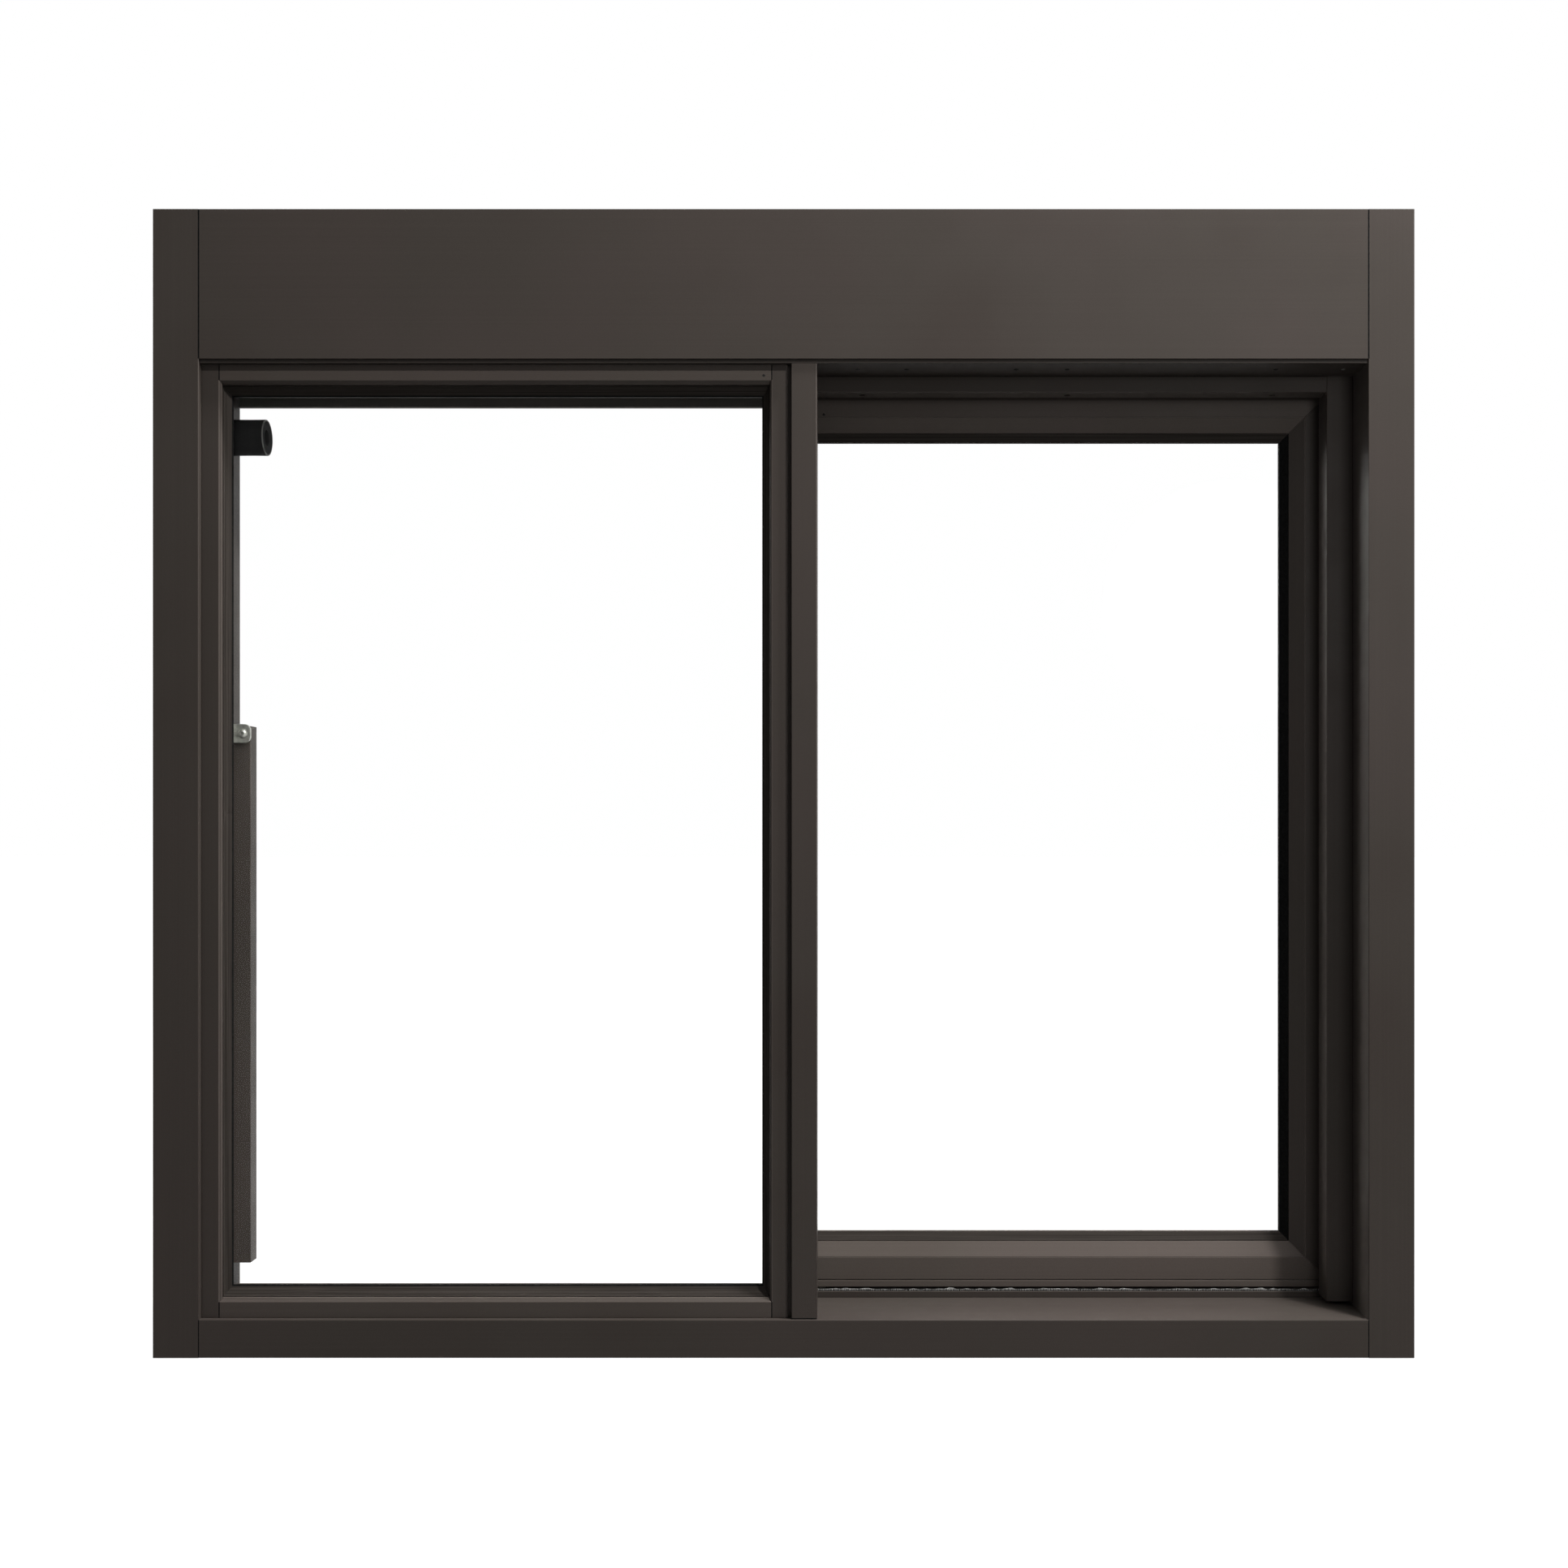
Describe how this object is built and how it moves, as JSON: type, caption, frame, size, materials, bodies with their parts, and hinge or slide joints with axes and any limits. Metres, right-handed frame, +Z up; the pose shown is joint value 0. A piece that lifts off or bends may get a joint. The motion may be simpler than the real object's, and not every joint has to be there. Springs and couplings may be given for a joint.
{
  "type": "horizontal sliding service window",
  "caption": "Bronze aluminium pass-through window with a tall header, a fixed light and a top-hung sash that slides behind it, with bumper and hanging lock bar.",
  "frame": {"origin": "middle of the sill's underside, half way along its length and its depth", "axes": "+X to the right seen from outside, +Y from outside into the building, +Z up"},
  "size_m": [1.2066, 0.1419, 1.0985],
  "materials": {
    "bronze_aluminium": "dark bronze anodised, satin",
    "mill_aluminium": "plain extruded",
    "glass": "clear float",
    "vinyl": "dark brown vinyl, satin",
    "black_rubber": "matt black",
    "zinc_steel": "zinc plated",
    "nylon": "natural nylon"
  },
  "bodies": {
    "frame": {"back_stop_bottom": "bronze_aluminium", "back_stop_left": "bronze_aluminium", "back_stop_right": "bronze_aluminium", "back_stop_top": "bronze_aluminium", "bumper": "black_rubber", "bumper_screw": "zinc_steel", "fixed_bead_bottom": "bronze_aluminium", "fixed_bead_left": "bronze_aluminium", "fixed_bead_right": "bronze_aluminium", "fixed_bead_top": "bronze_aluminium", "fixed_gasket": "vinyl", "fixed_glass": "glass", "fixed_glass_tape": "black_rubber", "guide_block": "nylon", "head_back_leg": "bronze_aluminium", "head_track": "bronze_aluminium", "header_back_panel": "bronze_aluminium", "header_front_panel": "bronze_aluminium", "header_top_plate": "bronze_aluminium", "jamb_stop": "bronze_aluminium", "left_jamb": "bronze_aluminium", "lock_bar": "bronze_aluminium", "lock_bar_bracket": "zinc_steel", "lock_bar_screw": "zinc_steel", "meeting_stop": "bronze_aluminium", "mullion": "bronze_aluminium", "right_jamb": "bronze_aluminium", "roller_rails": "mill_aluminium", "sill": "bronze_aluminium", "sill_guide_track": "bronze_aluminium", "soffit_back": "bronze_aluminium", "soffit_front": "bronze_aluminium"},
    "sash": {"sash_left_stile": "bronze_aluminium", "sash_right_stile": "bronze_aluminium", "sash_bottom_rail": "bronze_aluminium", "sash_top_rail": "bronze_aluminium", "sash_bead_left": "bronze_aluminium", "sash_bead_right": "bronze_aluminium", "sash_bead_bottom": "bronze_aluminium", "sash_bead_top": "bronze_aluminium", "sash_gasket": "vinyl", "sash_glass": "glass", "sash_hangers": "zinc_steel", "sash_rollers": "nylon", "pull_handle": "bronze_aluminium"}
  },
  "joints": [
    {"name": "sash_slide", "type": "slide", "parent": "frame", "child": "sash", "axis": [-1, 0, 0], "range_m": [0, 0.495]}
  ]
}
